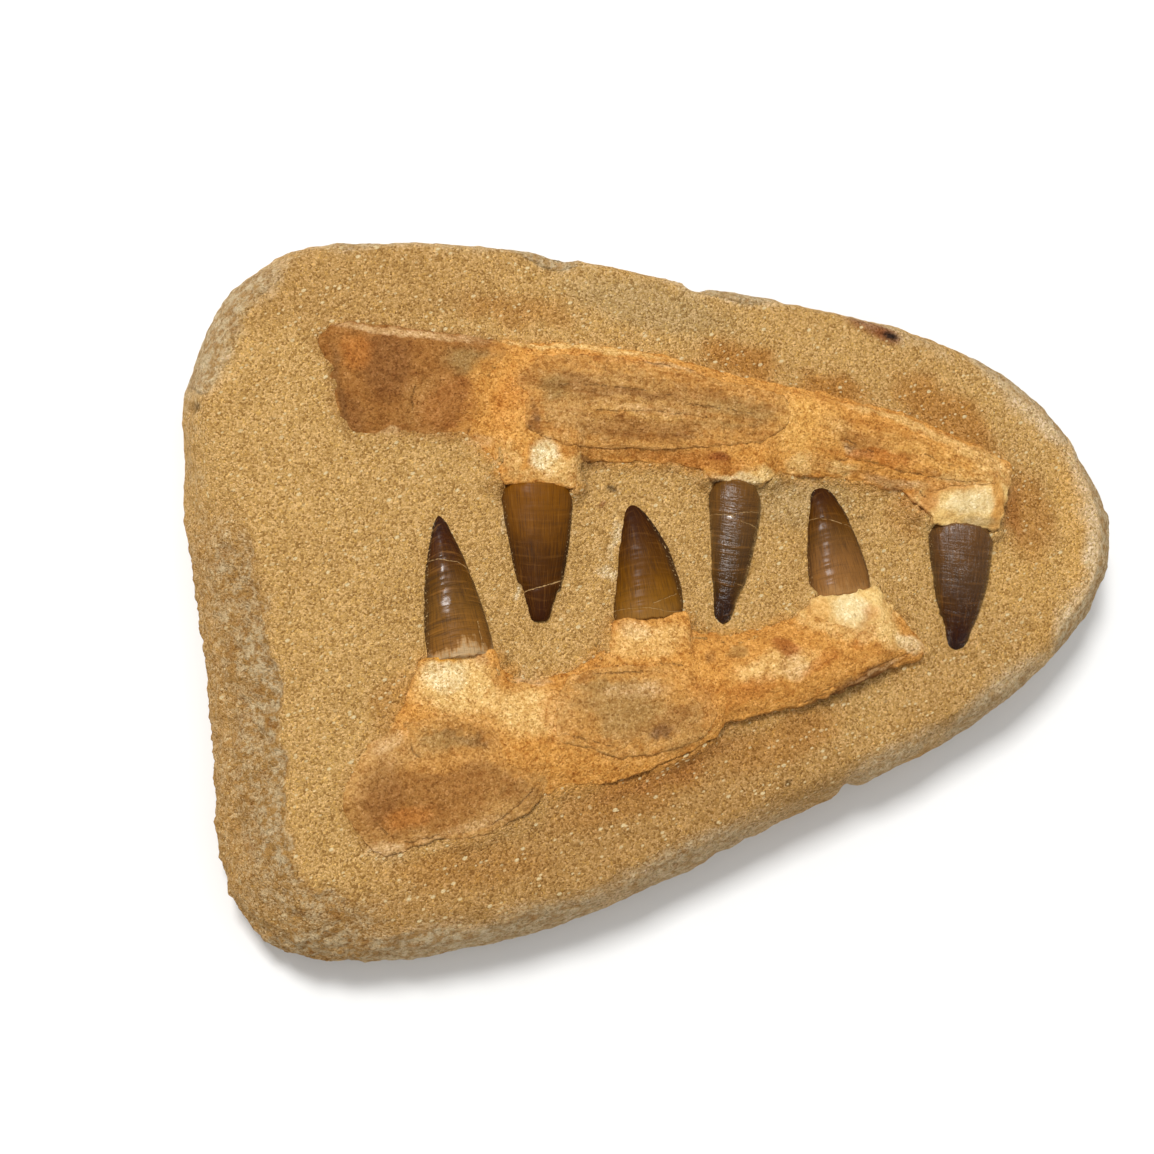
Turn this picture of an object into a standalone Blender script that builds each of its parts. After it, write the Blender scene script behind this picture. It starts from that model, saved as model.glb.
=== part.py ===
# A mosasaur jaw fossil: two jaws of bone and paste with six teeth, bedded in the face of a sandstone slab.
# The slab lies on its flat back. +X runs to the snout, +Y to the upper jaw and +Z out of the carved face.
# Sizes are in millimetres in the tables below, and the meshes are made in metres.

import math

import bmesh
import bpy
from mathutils import Vector, noise

MM = 0.001
GAP = 0.3  # left between pieces that touch

# The slab
FACE = 32.0  # height of the carved face above the back
# The slab's plan at its widest, from the grip side: x, y, and how far in the face's edge lies
RIM = [
    (-131, 37, 8), (-126, -2, 17), (-121, -30, 20), (-118, -63, 19), (-114, -80, 13), (-101, -93, 11),
    (-81, -96, 11), (-61, -95, 11), (-29, -87, 9), (-1, -76, 9), (17, -67, 9), (38, -57, 9), (55, -49, 8),
    (69, -43, 9), (92, -30, 9), (113, -13, 9), (126, 2, 9), (131, 19, 9), (129, 34, 9), (117, 55, 9),
    (97, 71, 8), (72, 80, 6), (37, 86, 5), (10, 89, 5), (-20, 93, 4), (-43, 96, 4), (-69, 96, 4),
    (-94, 94, 5), (-107, 90, 7), (-121, 79, 8), (-128, 62, 8), (-131, 49, 8),
]
RIM_SIDES = 96
# The side from back to face: height, inset in mm, and inset as a share of the face's edge
SIDE = [
    (0.0, 5.0, 0.0), (2.0, 2.2, 0.0), (7.0, 0.4, 0.0), (13.0, 0.0, 0.0), (19.0, 0.0, 0.12),
    (24.0, 0.0, 0.30), (28.0, 0.0, 0.57), (30.4, 0.0, 0.81), (31.6, 0.0, 0.98), (32.0, 0.0, 1.2),
]
SIDE_LUMP = 0.9  # hand-broken waves in the side
SIDE_LUMP_SPAN = 21.0

# The jaws
BED = 3.0  # how deep they are set in the face
STATION_SPAN = 4.0  # most between two cross-sections of a jaw
STATION_LEAST = 0.7
ACROSS = (0.0, 0.05, 0.13, 0.26, 0.42, 0.58, 0.74, 0.87, 0.95, 1.0)  # cross-section points, low edge to top
SWELL = 2.2  # a rounder cross-section is greater
BONE_LUMP = 0.35
BONE_LUMP_SPAN = 9.0

# Each jaw: its two edges in plan, then by x the heights of its walls and crest above the face, and the
# crest's place between the edges
UPPER = {
    "low": [
        (-96.6, 62.6), (-93.9, 54), (-91.6, 44.8), (-87.9, 38), (-80.6, 37.3), (-64.9, 38.2),
        (-58.2, 39.6), (-54.2, 37.9), (-51, 34.8), (-49, 30.6), (-47.9, 26.9), (-29.6, 26.7),
        (-28.4, 31.9), (-27.1, 34.1), (-21.9, 35), (0.1, 35.2), (5.7, 33.6), (7.2, 30.3), (22.5, 30.1),
        (26.8, 33.7), (45.3, 33.3), (62.6, 30.2), (66, 28.1), (69.7, 24.1), (70.9, 20.5), (89.7, 20.5),
        (91.4, 29.3), (93.4, 35),
    ],
    "top": [
        (-96.6, 64.6), (-93.6, 67.2), (-90.6, 67.9), (-81, 67.7), (-63, 66.5), (-49.6, 65.1),
        (-28, 65.4), (-6, 64), (16.4, 59.2), (39, 55.7), (62, 50.9), (79.4, 44.5), (93.4, 38.7),
    ],
    "low_wall": [
        (-97, -0.5), (-62, -0.6), (-52, 0.8), (-48, 4.6), (-29, 4.6), (-26, 2), (3, 2), (7, 4.6),
        (22.5, 4.6), (27, 2.5), (58, 2.5), (69, 4.8), (93, 5),
    ],
    "top_wall": [(-97, 0.5), (-90, 2.2), (-52, 3), (-22, 4), (38, 4.5), (83, 6), (93, 5.5)],
    "crest": [
        (-97, 1.2), (-90, 3.2), (-62, 4.4), (-47, 6), (-22, 7.4), (28, 7.6), (58, 8.4), (86, 9), (93, 6.5),
    ],
    "crest_at": [(-97, 0.8), (-52, 0.8), (-2, 0.72), (38, 0.7), (68, 0.72), (93, 0.6)],
}
LOWER = {
    "low": [
        (-88.1, -58.9), (-85.1, -62.2), (-83.3, -65.4), (-80, -68.4), (-77.5, -69.6), (-73.7, -68.8),
        (-69.9, -67), (-63.6, -65.2), (-55.9, -64.9), (-50.8, -63.6), (-40.5, -57.9), (-36.6, -52.8),
        (-31.3, -51.4), (-18.1, -50.2), (-11.4, -47.7), (6.2, -39.6), (9, -37.7), (10.4, -34.5),
        (18.7, -32.2), (32.6, -29.2), (43.9, -24.9), (55.4, -19.8), (66.9, -15.3),
    ],
    "top": [
        (-88.1, -55.5), (-86.7, -49.8), (-85.6, -46), (-79.4, -39.6), (-75.6, -36.7), (-73.6, -34.4),
        (-72.4, -30.5), (-69.4, -21.4), (-68.4, -19.3), (-50.7, -16.8), (-48.7, -21.6), (-44.7, -24.1),
        (-40.8, -24.8), (-35.5, -23.9), (-28.9, -21.9), (-22.2, -17.5), (-20.1, -13.5), (-18.7, -8.6),
        (0.5, -6.1), (2.2, -10.1), (4.9, -11.4), (10.4, -12), (21.5, -9.5), (31.9, -6), (34.5, -3.7),
        (35.4, -0.2), (53.5, 2.5), (56.9, -1.9), (61.1, -6.1), (64.4, -9.8), (66.9, -12.7),
    ],
    "low_wall": [
        (-88, -0.3), (-77, 0.8), (-52, 1.6), (-38, 1.5), (-22, 2.2), (-2, 3), (10, 4), (48, 5), (67, 3.5),
    ],
    "top_wall": [
        (-88, -0.3), (-77, 0.2), (-73, 1), (-68.5, 4.4), (-51, 4.4), (-47, 1.5), (-29, 1), (-22, 2),
        (-18.7, 4.5), (0.5, 4.5), (3, 2), (28, 2), (36, 4.8), (53, 4.8), (67, 3.5),
    ],
    "crest": [
        (-88, 0.8), (-80, 3), (-62, 4.2), (-47, 5.8), (-22, 6.6), (8, 7.5), (33, 8.6), (53, 8.2), (67, 4.6),
    ],
    "crest_at": [(-88, 0.5), (-62, 0.55), (-22, 0.5), (8, 0.45), (33, 0.38), (53, 0.35), (67, 0.45)],
}

# Where the jaws part into bones, sockets and the paste between. A region runs past the jaw's own edges
UPPER_REAR = [
    (-48.3, 74), (-48.5, 65.2), (-49.6, 59.4), (-55.4, 54.7), (-54.8, 48.8), (-57.4, 43.2), (-60, 38.5),
    (-60, 19), (-122, 19), (-122, 74),
]
UPPER_MIDDLE = [
    (-37.9, 60.1), (-44.6, 54.2), (-40.5, 51.2), (-41.9, 47.6), (-41.3, 42.2), (-32.5, 38.7),
    (-12.1, 39.3), (9.9, 40.5), (21.1, 42.3), (26.8, 45.9), (28.3, 48.8), (26.9, 52.5), (21.3, 53.9),
    (1.8, 57.3), (-17.5, 60.3),
]
UPPER_FRONT = [
    (39.4, 69), (38.5, 55), (37.2, 47.6), (36.6, 42), (37.6, 36.6), (38.6, 19), (118, -1), (118, 69),
]
UPPER_SOCKET = [
    (64.4, 25.1), (67.9, 29.7), (72.9, 31.7), (79.9, 32.5), (87.4, 33.5), (103, 32), (103, 4), (58, 4),
]
LOWER_REAR = [
    (-75.6, -32.9), (-73.3, -37.3), (-71.4, -37.7), (-66.8, -35.8), (-62.5, -35.5), (-58.6, -37.2),
    (-53.4, -35.8), (-49.5, -39.8), (-48.7, -44.7), (-42.2, -47.4), (-37.5, -50.9), (-34, -55),
    (-34, -81), (-112, -81), (-112, -32.9),
]
LOWER_MIDDLE = [
    (-32.9, -30), (-29.8, -24.5), (-23.1, -22.7), (-5.8, -21.5), (0.9, -24), (4.9, -27.8), (6.9, -33.5),
    (4.4, -37.3), (-1.9, -39.9), (-10, -42.3), (-17.9, -43.1), (-25.8, -40.7), (-33.2, -39.3),
]
LOWER_FRONT = [(7.4, 4), (8.4, -14.9), (10.7, -22.9), (11.1, -28.9), (13.4, -41), (88, -61), (88, 19)]
LOWER_SOCKET = [(33.1, 9), (33.3, -6.4), (39.9, -9.3), (47.9, -10.5), (54.9, -7.3), (58.3, 0.1), (60, 9)]
REGION_FLOOR, REGION_TOP = 20.0, 60.0  # heights that clear every jaw

# Each tooth: base and tip in plan, width at the base, bow of the middle to the snout, depth over width,
# power of the taper, fullness of the flanks, share of the crown that is left, and share lost at a worn base
TEETH = {
    "upper_tooth_rear": ((-39, 26.3), (-37.8, -15), 19.2, 0.4, 0.60, 0.83, 0.50, 0.853, 0),
    "upper_tooth_middle": ((15.6, 29.8), (11.4, -8.5), 14.8, 0.9, 0.78, 0.55, 0.20, 1, 0.3),
    "upper_tooth_front": ((80.1, 20.3), (77.7, -13.5), 18.9, 0.6, 0.66, 0.66, 0.40, 1, 0),
    "lower_tooth_rear": ((-58.6, -18.7), (-64.8, 18.4), 17.5, -0.2, 0.66, 0.80, 0.55, 1, 0),
    "lower_tooth_middle": ((-8.8, -7.1), (-13.2, 23.7), 19.1, 1.6, 0.56, 0.67, 0.42, 1, 0),
    "lower_tooth_front": ((45, 1.1), (39.6, 31.1), 17.2, 0.5, 0.62, 0.64, 0.50, 1, 0),
}
TOOTH_SIDES = 20
TOOTH_RINGS = (0.07, 0.16, 0.26, 0.37, 0.49, 0.61, 0.72, 0.82, 0.90, 0.955, 0.985)  # shares of the length
BASE_RISE = 0.5  # the crown's middle above the face at its base
TIP_SINK = 0.4  # and below it at its tip
EDGE_KEEL = 0.04  # the cutting edges stand out by this share of the width
KEEL_POWER = 10  # a narrower keel is greater
WORN_LENGTH = 0.025  # of the crown, over which a worn base rounds off
BROKEN_END = ((0.985, 0.86), (1.0, 0.55))  # a broken end's last rings: place and width as shares
SOCKET_TRIM = 4.0  # paste cleared ahead of a tooth's base, and to each side of it
SOCKET_MARGIN = 3.0

STONE = ("sandstone", (0.43, 0.27, 0.11), 0.95)
BROWN_BONE = ("brown bone", (0.30, 0.17, 0.06), 0.80)
PALE_BONE = ("pale bone", (0.55, 0.34, 0.13), 0.80)
PASTE = ("bone paste", (0.62, 0.37, 0.14), 0.90)
CREAM = ("cream paste", (0.74, 0.57, 0.30), 0.90)
ENAMEL = ("tooth enamel", (0.12, 0.055, 0.02), 0.25)


def clear_scene():
    for obj in list(bpy.data.objects):
        bpy.data.objects.remove(obj)


def finish_piece(obj, finish):
    """Gives a node its material, and smooth shading between its sharp edges."""
    name, colour, roughness = finish
    material = bpy.data.materials.get(name)
    if material is None:
        material = bpy.data.materials.new(name)
        material.use_nodes = True
        shader = material.node_tree.nodes["Principled BSDF"]
        shader.inputs["Base Color"].default_value = (*colour, 1.0)
        shader.inputs["Roughness"].default_value = roughness
        shader.inputs["Metallic"].default_value = 0.0
        material.diffuse_color = (*colour, 1.0)
    obj.data.materials.clear()
    obj.data.materials.append(material)
    obj.data.shade_smooth()
    obj.data.set_sharp_from_angle(angle=math.radians(40))


def object_from(name, bm):
    """A scene object from a bmesh in millimetres."""
    bmesh.ops.recalc_face_normals(bm, faces=bm.faces)
    bmesh.ops.scale(bm, vec=(MM, MM, MM), verts=bm.verts)
    mesh = bpy.data.meshes.new(name)
    bm.to_mesh(mesh)
    bm.free()
    obj = bpy.data.objects.new(name, mesh)
    bpy.context.scene.collection.objects.link(obj)
    return obj


def copy_of(obj, name):
    twin = bpy.data.objects.new(name, obj.data.copy())
    bpy.context.scene.collection.objects.link(twin)
    return twin


def extruded_rings(rings, tip=None):
    """A closed body: the first ring filled, extruded to each next one, and drawn to the tip if any."""
    bm = bmesh.new()
    first = cap = bm.faces.new([bm.verts.new(point) for point in rings[0]])
    for ring in rings[1:]:
        made = bmesh.ops.extrude_face_region(bm, geom=[cap])
        if cap is not first:
            bmesh.ops.delete(bm, geom=[cap], context="FACES_ONLY")
        cap = next(item for item in made["geom"] if isinstance(item, bmesh.types.BMFace))
        for vert, point in zip(cap.verts, ring):
            vert.co = point
    if tip:
        made = bmesh.ops.poke(bm, faces=[cap])
        made["verts"][0].co = tip
    return bm


def combine(obj, cutters, operation):
    """Cuts obj by each cutter, or keeps what they share, and removes the cutters."""
    for cutter in cutters:
        modifier = obj.modifiers.new(operation.lower(), "BOOLEAN")
        modifier.operation = operation
        modifier.solver = "EXACT"
        modifier.object = cutter
        graph = bpy.context.evaluated_depsgraph_get()
        made = bpy.data.meshes.new_from_object(obj.evaluated_get(graph))
        obj.modifiers.clear()
        obj.data = made
        bpy.data.objects.remove(cutter)


def value_at(curve, x):
    """Value at x of a curve of (x, value) pairs, straight between them."""
    if x <= curve[0][0]:
        return curve[0][1]
    for (x0, y0), (x1, y1) in zip(curve, curve[1:]):
        if x <= x1:
            return y0 + (y1 - y0) * (x - x0) / (x1 - x0)
    return curve[-1][1]


def catmull_rom(p, q, r, s, t):
    """Value t of the way from q to r on a smooth run through p, q, r and s."""
    square, cube = 2 * p - 5 * q + 4 * r - s, 3 * q - p - 3 * r + s
    return 0.5 * (2 * q + (r - p) * t + square * t**2 + cube * t**3)


def closed_curve(points, count):
    """Evenly spaced points of a smooth closed curve through the given ones, with all their values carried."""
    fine = []
    total = len(points)
    for i in range(total):
        near = [points[(i + k) % total] for k in (-1, 0, 1, 2)]
        for step in range(12):
            fine.append([catmull_rom(*values, step / 12) for values in zip(*near)])
    reach = [0.0]
    for start, end in zip(fine, fine[1:] + fine[:1]):
        reach.append(reach[-1] + math.dist(start[:2], end[:2]))
    even = []
    k = 0
    for i in range(count):
        want = reach[-1] * i / count
        while reach[k + 1] < want:
            k += 1
        share = (want - reach[k]) / (reach[k + 1] - reach[k])
        start, end = fine[k], fine[(k + 1) % len(fine)]
        even.append([p + (q - p) * share for p, q in zip(start, end)])
    return even


def outward(outline):
    """Unit normals of an anticlockwise outline at its points."""
    found = []
    for i, point in enumerate(outline):
        here = Vector(point[:2])
        before = (here - Vector(outline[i - 1][:2])).normalized()
        after = (Vector(outline[(i + 1) % len(outline)][:2]) - here).normalized()
        found.append(Vector((before.y + after.y, -before.x - after.x)).normalized())
    return found


def anticlockwise(outline):
    area = sum(a[0] * b[1] - b[0] * a[1] for a, b in zip(outline, outline[1:] + outline[:1]))
    return outline if area > 0 else outline[::-1]


def grown(outline, by):
    outline = anticlockwise(outline)
    return [(point[0] + out.x * by, point[1] + out.y * by) for point, out in zip(outline, outward(outline))]


def prism(name, outline, bottom, top):
    rings = [[(x, y, z) for x, y in anticlockwise(outline)] for z in (bottom, top)]
    return object_from(name, extruded_rings(rings))


def lump(x, y, z, span, size):
    return size * noise.noise(Vector((x, y, z)) / span)


def build_slab():
    plan = closed_curve(RIM, RIM_SIDES)
    rings = []
    for height, inset, share in SIDE:
        size = 0.0 if height in (SIDE[0][0], SIDE[-1][0]) else SIDE_LUMP
        ring = []
        for (x, y, edge), out in zip(plan, outward(plan)):
            reach = lump(x, y, height * 2, SIDE_LUMP_SPAN, size) - inset - share * edge
            ring.append((x + out.x * reach, y + out.y * reach, height))
        rings.append(ring)
    return object_from("matrix_slab", extruded_rings(rings))


def stations(jaw):
    """The x of each cross-section: every corner of both edges, and none further apart than STATION_SPAN."""
    corners = sorted({x for edge in ("low", "top") for x, _ in jaw[edge]})
    kept = corners[:1]
    for x in corners[1:]:
        start = kept[-1]
        if x - start < STATION_LEAST and x != corners[-1]:
            continue
        steps = math.ceil((x - start) / STATION_SPAN)
        kept += [start + (x - start) * (i + 1) / steps for i in range(steps)]
    return kept


def surface_height(jaw, x, share):
    """Height of a jaw's surface above the face, share of the way from its low edge to its top edge."""
    crest, place = value_at(jaw["crest"], x), value_at(jaw["crest_at"], x)
    if share < place:
        wall, run = value_at(jaw["low_wall"], x), share / place
    else:
        wall, run = value_at(jaw["top_wall"], x), (1 - share) / (1 - place)
    return wall + (crest - wall) * (1 - (1 - run) ** SWELL)


def build_jaw(name, jaw):
    """A whole jaw in relief, flat underneath: a grid laid from edge to edge, with walls to its bed."""
    along = stations(jaw)
    bm = bmesh.new()
    bmesh.ops.create_grid(bm, x_segments=len(along) - 1, y_segments=len(ACROSS) - 1, size=0.5)
    for vert in bm.verts:
        x = along[round((vert.co.x + 0.5) * (len(along) - 1))]
        share = ACROSS[round((vert.co.y + 0.5) * (len(ACROSS) - 1))]
        low, top = value_at(jaw["low"], x), value_at(jaw["top"], x)
        y = low + (top - low) * share
        rise = surface_height(jaw, x, share) + lump(x, y, 0, BONE_LUMP_SPAN, BONE_LUMP)
        vert.co = (x, y, FACE + rise)
    border = [edge for edge in bm.edges if edge.is_boundary]
    walls = bmesh.ops.extrude_edge_only(bm, edges=border)["geom"]
    for vert in (item for item in walls if isinstance(item, bmesh.types.BMVert)):
        vert.co.z = FACE - BED
    bmesh.ops.contextual_create(bm, geom=[edge for edge in bm.edges if edge.is_boundary])
    return object_from(name, bm)


def build_bed(jaw):
    """The hollow in the slab that a jaw is set in."""
    along = stations(jaw)
    low, top = ([(x, value_at(jaw[edge], x)) for x in along] for edge in ("low", "top"))
    return prism("bed", grown(low + top[::-1], GAP), FACE - BED - GAP, REGION_TOP)


def lay_along(obj, base, tip, dive=0.0):
    """Places an object that is modelled from its base along +Y, so that it runs to the tip."""
    run = Vector(tip) - Vector(base)
    obj.location = Vector((*base, FACE + BASE_RISE if dive else 0.0)) * MM
    obj.rotation_euler = (-math.asin(dive / run.length), 0, math.atan2(run.y, run.x) - math.pi / 2)
    return obj


def build_tooth(name, grow=0.0):
    """A crown lying in the face, its base square across. Grown, it is the hollow that the crown lies in."""
    base, tip, width, bow, depth, power, fullness, kept, worn = TEETH[name]
    length = math.dist(base, tip)
    snoutward = bow if tip[1] > base[1] else -bow

    def middle(share, shift=0.0):
        return Vector((snoutward * 4 * share * (1 - share), length * share + shift, 0))

    def ring_at(share, size=1.0, shift=0.0):
        half = width / 2 * (1 - share) ** power * (1 + fullness * share) * size
        ring = []
        for i in range(TOOTH_SIDES):
            angle = 2 * math.pi * i / TOOTH_SIDES
            keel = 1 + EDGE_KEEL * abs(math.cos(angle)) ** KEEL_POWER
            across, rise = math.cos(angle) * (half + grow) * keel, math.sin(angle) * (half * depth + grow)
            ring.append(middle(share, shift) + Vector((across, 0, rise)))
        return ring

    rings = [ring_at(0, 1 - worn, -grow)]
    if worn:
        rings.append(ring_at(WORN_LENGTH, 1 - worn * 0.3))
    if kept < 1:
        rings += [ring_at(share * kept) for share in TOOTH_RINGS[:-1]]
        rings += [ring_at(share * kept, size) for share, size in BROKEN_END]
    else:
        rings += [ring_at(share) for share in TOOTH_RINGS]
    tooth = object_from(name if not grow else name + "_bed", extruded_rings(rings, middle(kept, grow)))
    return lay_along(tooth, base, tip, BASE_RISE + TIP_SINK)


def build_trim(name):
    """The block of paste cleared away from a tooth's base onward, so that the whole base shows."""
    base, tip, width = TEETH[name][:3]
    half = width / 2 + SOCKET_MARGIN
    outline = [(-half, -GAP), (half, -GAP), (half, SOCKET_TRIM), (-half, SOCKET_TRIM)]
    return lay_along(prism("trim", outline, REGION_FLOOR, REGION_TOP), base, tip)


def part_off(whole, name, outline):
    """Splits a region off a piece as a node of its own, and leaves the rest a gap away."""
    part = copy_of(whole, name)
    combine(part, [prism("keep", outline, REGION_FLOOR, REGION_TOP)], "INTERSECT")
    combine(whole, [prism("cut", grown(outline, GAP), REGION_FLOOR, REGION_TOP)], "DIFFERENCE")
    return part


def build_side(side, jaw, rear, middle, front, socket):
    """One jaw's nodes: three bones, the cream paste under its front tooth, and the paste between them."""
    paste = build_jaw(side + "_jaw_paste", jaw)
    combine(paste, [build_trim(name) for name in TEETH if name.startswith(side)], "DIFFERENCE")
    finish_piece(part_off(paste, side + "_jaw_rear", rear), BROWN_BONE)
    finish_piece(part_off(paste, side + "_jaw_middle", middle), BROWN_BONE)
    front_bone = part_off(paste, side + "_jaw_front", front)
    finish_piece(part_off(front_bone, side + "_front_socket", socket), CREAM)
    finish_piece(front_bone, PALE_BONE)
    finish_piece(paste, PASTE)


def build_fossil():
    slab = build_slab()
    combine(slab, [build_bed(UPPER), build_bed(LOWER)], "DIFFERENCE")
    combine(slab, [build_tooth(name, GAP) for name in TEETH], "DIFFERENCE")
    finish_piece(slab, STONE)
    build_side("upper", UPPER, UPPER_REAR, UPPER_MIDDLE, UPPER_FRONT, UPPER_SOCKET)
    build_side("lower", LOWER, LOWER_REAR, LOWER_MIDDLE, LOWER_FRONT, LOWER_SOCKET)
    for name in TEETH:
        finish_piece(build_tooth(name), ENAMEL)


clear_scene()
build_fossil()
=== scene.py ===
# A mosasaur jaw fossil in its sandstone slab: the looks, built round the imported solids.
# Tables are in millimetres and in photo tones (0 to 255); meshes are in metres.

import math

import bmesh
import bpy
import numpy as np
from mathutils import Matrix, Vector, noise
from mathutils.kdtree import KDTree


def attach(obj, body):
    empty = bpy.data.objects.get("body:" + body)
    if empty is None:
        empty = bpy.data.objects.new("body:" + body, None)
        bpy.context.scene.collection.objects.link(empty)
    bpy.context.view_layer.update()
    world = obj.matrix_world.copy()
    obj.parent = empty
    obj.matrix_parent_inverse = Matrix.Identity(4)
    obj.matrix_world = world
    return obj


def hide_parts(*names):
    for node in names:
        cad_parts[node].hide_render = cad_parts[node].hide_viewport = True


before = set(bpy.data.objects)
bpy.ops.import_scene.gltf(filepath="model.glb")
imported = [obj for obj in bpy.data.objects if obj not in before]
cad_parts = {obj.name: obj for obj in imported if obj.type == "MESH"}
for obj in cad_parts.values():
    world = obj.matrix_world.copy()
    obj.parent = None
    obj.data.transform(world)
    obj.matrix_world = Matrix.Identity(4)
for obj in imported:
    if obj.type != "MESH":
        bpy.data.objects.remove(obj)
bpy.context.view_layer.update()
bpy.ops.object.select_all(action="DESELECT")

mm = 0.001
faceHeight = 32.0
lightOnFace = 1.18  # how bright a white card on the face would show
paintSeed = 1795871409  # the draw by which the edges of the paint wander
noise.seed_set(paintSeed)

# What a user would repaint first: the tones that the washes below name
tones = {
    "sand": (217, 170, 98), "deepSand": (190, 142, 78), "oliveSand": (194, 162, 106),
    "stain": (192, 132, 60), "rust": (168, 98, 38), "redBrown": (138, 72, 32), "soot": (44, 34, 27),
    "crust": (248, 224, 178), "brown": (166, 112, 52), "darkBrown": (134, 86, 42), "tan": (200, 150, 82),
    "grey": (162, 128, 72), "orange": (218, 154, 72), "gold": (236, 180, 94), "deepOrange": (202, 122, 46),
    "cream": (244, 203, 126), "paleCream": (250, 226, 168), "beige": (224, 182, 122),
    "ochre": (218, 152, 48), "purple": (98, 64, 50), "shade": (120, 80, 40), "shell": (252, 224, 168),
    "paleGrain": (236, 204, 146), "amber": (168, 112, 44),
}

# What the grains of the stone and of the bones multiply the colour under them by; warm also darkens the
# pits of the worn stone, as painted shade
tints = {
    "damp": (0.84, 0.80, 0.74), "bright": (1.34, 1.42, 1.8), "dark": (0.56, 0.48, 0.38),
    "golden": (1.26, 1.26, 1.05), "pale": (1.16, 1.22, 1.4), "warm": (0.74, 0.62, 0.48),
    "rusty": (0.62, 0.46, 0.32),
}


def shown(tone):  # the colour a surface needs to show this tone under the studio light
    part = np.array(tone, float) / 255
    return np.where(part <= 0.04045, part / 12.92, ((part + 0.055) / 1.055) ** 2.4) / lightOnFace


palette = {name: shown(tone) for name, tone in tones.items()}


# Picking, copying and shaping

def workOn(piece):
    bpy.ops.object.select_all(action="DESELECT")
    piece.select_set(True)
    bpy.context.view_layer.objects.active = piece


def editAll(piece):
    workOn(piece)
    bpy.ops.object.mode_set(mode="EDIT")
    bpy.ops.mesh.select_all(action="SELECT")


def copyOf(node, name):
    piece = bpy.data.objects.new(name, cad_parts[node].data.copy())
    bpy.context.scene.collection.objects.link(piece)
    piece.data.materials.clear()
    editAll(piece)
    bpy.ops.mesh.remove_doubles(threshold=0.000002)
    bpy.ops.object.mode_set(mode="OBJECT")
    return piece


def applied(piece, kind, **settings):
    workOn(piece)
    modifier = piece.modifiers.new(kind.lower(), kind)
    for name, value in settings.items():
        setattr(modifier, name, value)
    bpy.ops.object.modifier_apply(modifier=modifier.name)


def remesh(piece, span):
    workOn(piece)
    piece.data.remesh_voxel_size = span * mm
    bpy.ops.object.voxel_remesh()


def cutFlat(piece, height, bottom):
    # cuts the underside away and closes it with one flat face
    editAll(piece)
    bpy.ops.mesh.bisect(plane_co=(0, 0, height * mm), plane_no=(0, 0, 1), clear_inner=True, use_fill=True)
    bpy.ops.transform.translate(value=(0, 0, (bottom - height) * mm))
    bpy.ops.object.mode_set(mode="OBJECT")


def placesOf(piece):
    flat = np.empty(len(piece.data.vertices) * 3, np.float32)
    piece.data.vertices.foreach_get("co", flat)
    return flat.reshape(-1, 3).astype(float) / mm


def normalsOf(piece):
    flat = np.empty(len(piece.data.vertices) * 3, np.float32)
    piece.data.vertex_normals.foreach_get("vector", flat)
    return flat.reshape(-1, 3).astype(float)


def smoothStep(low, high, value):
    share = np.clip((value - low) / (high - low), 0, 1)
    return share * share * (3 - 2 * share)


def grainAt(places, span, seed=0.0):
    return np.array([noise.noise(place) for place in (places / span + seed).tolist()])


def driftAt(places, span, seed=0.0):
    return np.array([noise.noise_vector(place)[:] for place in (places / span + seed).tolist()])


def spotAt(places, x, y, along, across, turn):
    cosine, sine = math.cos(math.radians(turn)), math.sin(math.radians(turn))
    east, north = places[:, 0] - x, places[:, 1] - y
    reach = np.hypot((east * cosine + north * sine) / along, (north * cosine - east * sine) / across)
    return smoothStep(1.3, 0.55, reach)


def treeOf(points):
    tree = KDTree(len(points))
    for i, point in enumerate(points):
        tree.insert(point, i)
    tree.balance()
    return tree


def toLines(places, lines):
    # how far each place is, in plan, from the nearest point of these lines, and which way
    away = np.full(len(places), 99.0)
    offset = np.zeros((len(places), 2))
    for line in lines:
        for start, end in zip(line, line[1:]):
            start, run = np.array(start, float), np.array(end, float) - np.array(start, float)
            share = np.clip((places[:, :2] - start) @ run / (run @ run), 0, 1)
            here = places[:, :2] - (start + share[:, None] * run)
            near = np.hypot(here[:, 0], here[:, 1])
            closer = near < away
            away[closer], offset[closer] = near[closer], here[closer]
    return away, offset


def displace(piece, depth, texture=None, weights=None, direction="NORMAL", space=None):
    settings = {"strength": depth * mm, "direction": direction, "mid_level": 0.0}
    if texture:
        settings |= {"texture": texture, "texture_coords": "LOCAL", "mid_level": 0.5}
    if space:
        settings |= {"texture_coords": "OBJECT", "texture_coords_object": space}
    if weights is not None:
        group = piece.vertex_groups.new(name="weights")
        steps = np.round(np.clip(weights, 0, 1) * 250).astype(int)
        for step in range(1, 251):
            group.add(np.flatnonzero(steps == step).tolist(), step / 250, "REPLACE")
        settings["vertex_group"] = group.name
    applied(piece, "DISPLACE", **settings)
    piece.vertex_groups.clear()


def clouds(name, span, depth=2, basis="BLENDER_ORIGINAL"):
    texture = bpy.data.textures.new(name, "CLOUDS")
    texture.noise_scale = span * mm
    texture.noise_depth = depth
    texture.noise_basis = basis
    return texture


def stretched(name, turn, stretch):
    # an empty that draws a texture out along its own X
    empty = bpy.data.objects.new(name, None)
    bpy.context.scene.collection.objects.link(empty)
    empty.rotation_euler.z = math.radians(turn)
    empty.scale.x = stretch
    bpy.context.view_layer.update()
    return empty


def layer(piece, name, values):
    kind, key = ("FLOAT", "value") if values.ndim == 1 else ("FLOAT_VECTOR", "vector")
    made = piece.data.attributes.new(name, kind, "POINT")
    made.data.foreach_set(key, values.astype(np.float32).ravel())


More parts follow.
